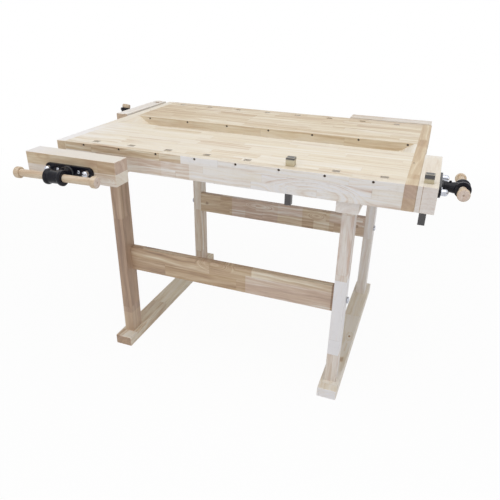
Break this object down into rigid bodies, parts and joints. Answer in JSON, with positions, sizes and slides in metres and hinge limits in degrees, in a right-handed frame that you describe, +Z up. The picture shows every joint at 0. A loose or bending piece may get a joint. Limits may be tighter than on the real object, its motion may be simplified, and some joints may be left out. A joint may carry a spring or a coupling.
{
  "type": "woodworking bench",
  "caption": "Double-sided woodworking bench: tool tray along the middle, rows of dog holes, front and tail screw vises on both sides, trestle base with bolted rails.",
  "frame": {"origin": "on the floor, under the middle of the bench's outline with the vises as stored", "axes": "+X along the top from the front vise's end to the tail vise, +Y from the front edge to the back, +Z up"},
  "size_m": [1.5974, 1.289, 0.8873],
  "materials": {
    "top_wood": "satin oiled",
    "jaw_wood": "satin oiled",
    "base_wood": "satin oiled",
    "handle_wood": "turned, satin",
    "black_casting": "gloss black",
    "bright_steel": "bright",
    "dark_fixings": "dark zinc",
    "dog_steel": "ground steel"
  },
  "bodies": {
    "bench": {"back_apron": "top_wood", "back_dog_blocks": "top_wood", "back_dog_strip": "top_wood", "back_left_leg": "base_wood", "back_rail": "base_wood", "back_right_housing": "black_casting", "back_right_leg": "base_wood", "back_slab": "top_wood", "back_tray_wall": "top_wood", "barrel_nuts": "dark_fixings", "edge_screws": "dark_fixings", "front_apron": "top_wood", "front_dog_blocks": "top_wood", "front_dog_strip": "top_wood", "front_left_housing": "black_casting", "front_left_leg": "base_wood", "front_rail": "base_wood", "front_right_leg": "base_wood", "front_slab": "top_wood", "front_tray_wall": "top_wood", "housing_screws": "dark_fixings", "left_bearer": "base_wood", "left_end_cap": "top_wood", "left_foot": "base_wood", "left_tail_housing": "black_casting", "rail_bolts": "bright_steel", "right_bearer": "base_wood", "right_end_cap": "top_wood", "right_foot": "base_wood", "right_tail_housing": "black_casting", "top_bolts": "dark_fixings", "tray_floor": "top_wood", "tray_ramps": "top_wood", "tray_screws": "dark_fixings"},
    "front_left_vise": {"front_left_jaw": "jaw_wood", "front_left_plate": "black_casting", "front_left_plate_screws": "bright_steel", "front_left_guide_rods": "bright_steel"},
    "front_left_spindle": {"front_left_screw": "black_casting"},
    "front_left_bar": {"front_left_handle": "handle_wood"},
    "back_right_vise": {"back_right_jaw": "jaw_wood", "back_right_plate": "black_casting", "back_right_plate_screws": "bright_steel", "back_right_guide_rods": "bright_steel"},
    "back_right_spindle": {"back_right_screw": "black_casting"},
    "back_right_bar": {"back_right_handle": "handle_wood"},
    "right_tail_vise": {"right_tail_jaw": "jaw_wood", "right_tail_plate": "black_casting", "right_tail_plate_screws": "bright_steel", "right_tail_guide_rods": "bright_steel"},
    "right_tail_spindle": {"right_tail_screw": "black_casting"},
    "right_tail_bar": {"right_tail_handle": "handle_wood"},
    "left_tail_vise": {"left_tail_jaw": "jaw_wood", "left_tail_plate": "black_casting", "left_tail_plate_screws": "bright_steel", "left_tail_guide_rods": "bright_steel"},
    "left_tail_spindle": {"left_tail_screw": "black_casting"},
    "left_tail_bar": {"left_tail_handle": "handle_wood"},
    "slab_dog": {"slab_dog": "dog_steel"},
    "jaw_dog": {"jaw_dog": "dog_steel"}
  },
  "joints": [
    {"name": "front_left_slide", "type": "slide", "parent": "bench", "child": "front_left_vise", "axis": [0, -1, 0], "range_m": [-0.0897, 0.05]},
    {"name": "front_left_turn", "type": "hinge", "parent": "front_left_vise", "child": "front_left_spindle", "pos_m": [-0.44515, -0.547, 0.812], "axis": [0, -1, 0], "range_deg": [-6458.4, 3600]},
    {"name": "front_left_bar_slide", "type": "slide", "parent": "front_left_spindle", "child": "front_left_bar", "axis": [-0.9998, 0, -0.0175], "range_m": [-0.1062, 0.1062]},
    {"name": "back_right_slide", "type": "slide", "parent": "bench", "child": "back_right_vise", "axis": [0, 1, 0], "range_m": [-0.0197, 0.12]},
    {"name": "back_right_turn", "type": "hinge", "parent": "back_right_vise", "child": "back_right_spindle", "pos_m": [0.46485, 0.547, 0.812], "axis": [0, 1, 0], "range_deg": [-1418.4, 8640]},
    {"name": "back_right_bar_slide", "type": "slide", "parent": "back_right_spindle", "child": "back_right_bar", "axis": [1, 0, 0], "range_m": [-0.1062, 0.1062]},
    {"name": "right_tail_slide", "type": "slide", "parent": "bench", "child": "right_tail_vise", "axis": [1, 0, 0], "range_m": [0, 0.1397]},
    {"name": "right_tail_turn", "type": "hinge", "parent": "right_tail_vise", "child": "right_tail_spindle", "pos_m": [0.70115, -0.2115, 0.812], "axis": [1, 0, 0], "range_deg": [0, 10058.4]},
    {"name": "right_tail_bar_slide", "type": "slide", "parent": "right_tail_spindle", "child": "right_tail_bar", "axis": [0, -0.991, 0.134], "range_m": [-0.0632, 0.1492]},
    {"name": "left_tail_slide", "type": "slide", "parent": "bench", "child": "left_tail_vise", "axis": [-1, 0, 0], "range_m": [-0.0197, 0.12]},
    {"name": "left_tail_turn", "type": "hinge", "parent": "left_tail_vise", "child": "left_tail_spindle", "pos_m": [-0.70115, 0.2815, 0.812], "axis": [-1, 0, 0], "range_deg": [-1418.4, 8640]},
    {"name": "left_tail_bar_slide", "type": "slide", "parent": "left_tail_spindle", "child": "left_tail_bar", "axis": [0, 0.342, 0.9397], "range_m": [0, 0.2124]},
    {"name": "slab_dog_slide", "type": "slide", "parent": "bench", "child": "slab_dog", "axis": [0, 0, 1], "range_m": [0, 0.045]},
    {"name": "jaw_dog_slide", "type": "slide", "parent": "right_tail_vise", "child": "jaw_dog", "axis": [0, 0, 1], "range_m": [0, 0.045]}
  ],
  "couplings": [
    {"joint": "front_left_slide", "follows": "front_left_turn", "m_per_rad": 0.00079577},
    {"joint": "back_right_slide", "follows": "back_right_turn", "m_per_rad": 0.00079577},
    {"joint": "right_tail_slide", "follows": "right_tail_turn", "m_per_rad": 0.00079577},
    {"joint": "left_tail_slide", "follows": "left_tail_turn", "m_per_rad": 0.00079577}
  ]
}
